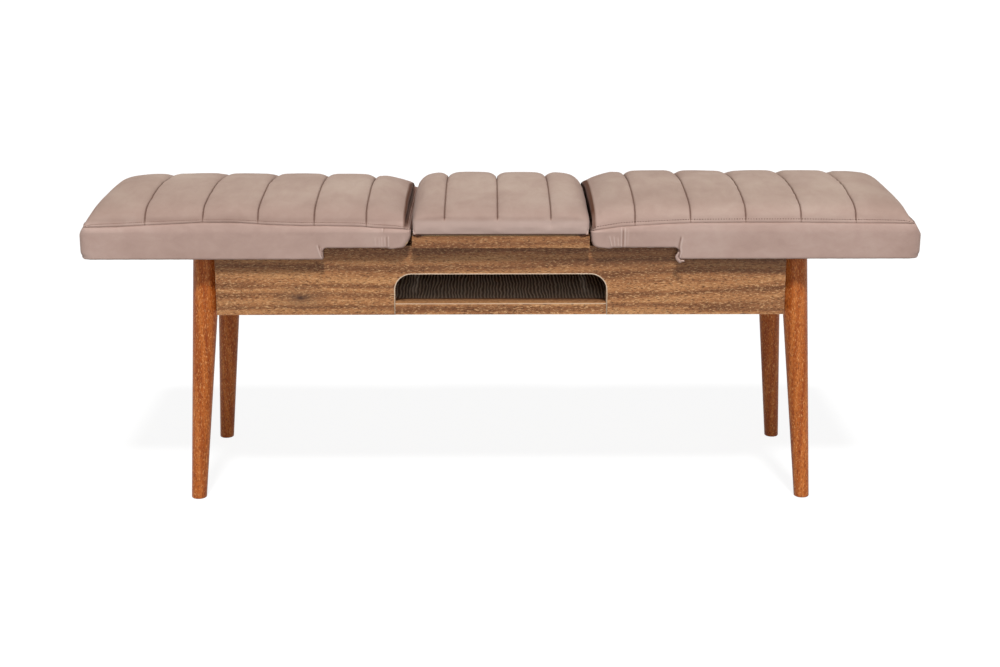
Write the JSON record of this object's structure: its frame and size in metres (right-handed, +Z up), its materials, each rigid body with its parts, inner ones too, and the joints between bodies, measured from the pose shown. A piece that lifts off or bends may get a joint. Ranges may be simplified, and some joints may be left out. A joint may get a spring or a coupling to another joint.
{
  "type": "extending upholstered bench",
  "caption": "Dining bench whose two channel-stitched velvet seat halves slide apart on a box frame with splayed legs, with a padded leaf filling the gap.",
  "frame": {"origin": "on the floor, under the middle of the bench", "axes": "+Z up, +X along the bench to the right, the front faces -Y"},
  "size_m": [1.3, 0.36, 0.4939],
  "materials": {
    "velvet": "short pile upholstery velvet, dusty taupe pink, channel stitched",
    "walnut_board": "walnut grain foil on board with a pale edge band",
    "stained_beech": "turned beech with an orange brown satin stain",
    "chipboard": "raw chipboard",
    "plywood": "raw plywood",
    "softwood": "planed softwood",
    "dowel_beech": "plain beech",
    "slide_steel": "zinc plated cold rolled steel",
    "bearing_steel": "bare bearing steel",
    "zinc_steel": "zinc plated fasteners"
  },
  "bodies": {
    "frame": {"channel_screws": "zinc_steel", "corner_blocks": "softwood", "corner_dowels": "dowel_beech", "floor_dowels": "dowel_beech", "floor_panel": "walnut_board", "front_apron": "walnut_board", "front_left_leg": "stained_beech", "front_right_leg": "stained_beech", "left_end_panel": "walnut_board", "left_front_slide_channel": "slide_steel", "left_rear_slide_channel": "slide_steel", "leg_bolts": "zinc_steel", "leg_washers": "zinc_steel", "rear_apron": "walnut_board", "rear_left_leg": "stained_beech", "rear_right_leg": "stained_beech", "right_end_panel": "walnut_board", "right_front_slide_channel": "slide_steel", "right_rear_slide_channel": "slide_steel"},
    "left_half": {"left_border": "velvet", "left_end_skirt": "softwood", "left_front_runner": "softwood", "left_front_skirt": "softwood", "left_front_slide_rail": "slide_steel", "left_rail_screws": "zinc_steel", "left_rear_runner": "softwood", "left_rear_skirt": "softwood", "left_rear_slide_rail": "slide_steel", "left_runner_screws": "zinc_steel", "left_seat_board": "chipboard", "left_seat_cushion": "velvet", "left_skirt_screws": "zinc_steel"},
    "right_half": {"right_border": "velvet", "right_end_skirt": "softwood", "right_front_runner": "softwood", "right_front_skirt": "softwood", "right_front_slide_rail": "slide_steel", "right_rail_screws": "zinc_steel", "right_rear_runner": "softwood", "right_rear_skirt": "softwood", "right_rear_slide_rail": "slide_steel", "right_runner_screws": "zinc_steel", "right_seat_board": "chipboard", "right_seat_cushion": "velvet", "right_skirt_screws": "zinc_steel"},
    "left_cages": {"left_slide_cages": "bearing_steel", "left_slide_balls": "bearing_steel"},
    "right_cages": {"right_slide_cages": "bearing_steel", "right_slide_balls": "bearing_steel"},
    "leaf": {"leaf_board": "walnut_board", "leaf_cleat_screws": "zinc_steel", "leaf_cleats": "softwood", "leaf_cushion": "velvet", "leaf_cushion_base": "plywood", "leaf_screws": "zinc_steel"}
  },
  "joints": [
    {"name": "right_half_slide", "type": "slide", "parent": "frame", "child": "right_half", "axis": [1, 0, 0], "range_m": [0, 0.015]},
    {"name": "left_half_slide", "type": "slide", "parent": "frame", "child": "left_half", "axis": [-1, 0, 0], "range_m": [0, 0.015]},
    {"name": "right_cages_roll", "type": "slide", "parent": "frame", "child": "right_cages", "axis": [1, 0, 0], "range_m": [0, 0.0075]},
    {"name": "left_cages_roll", "type": "slide", "parent": "frame", "child": "left_cages", "axis": [-1, 0, 0], "range_m": [0, 0.0075]},
    {"name": "leaf_lift", "type": "slide", "parent": "frame", "child": "leaf", "axis": [0, 0, 1], "range_m": [0, 0.15]}
  ],
  "couplings": [
    {"joint": "right_cages_roll", "follows": "right_half_slide", "ratio": 0.5},
    {"joint": "left_cages_roll", "follows": "left_half_slide", "ratio": 0.5}
  ]
}
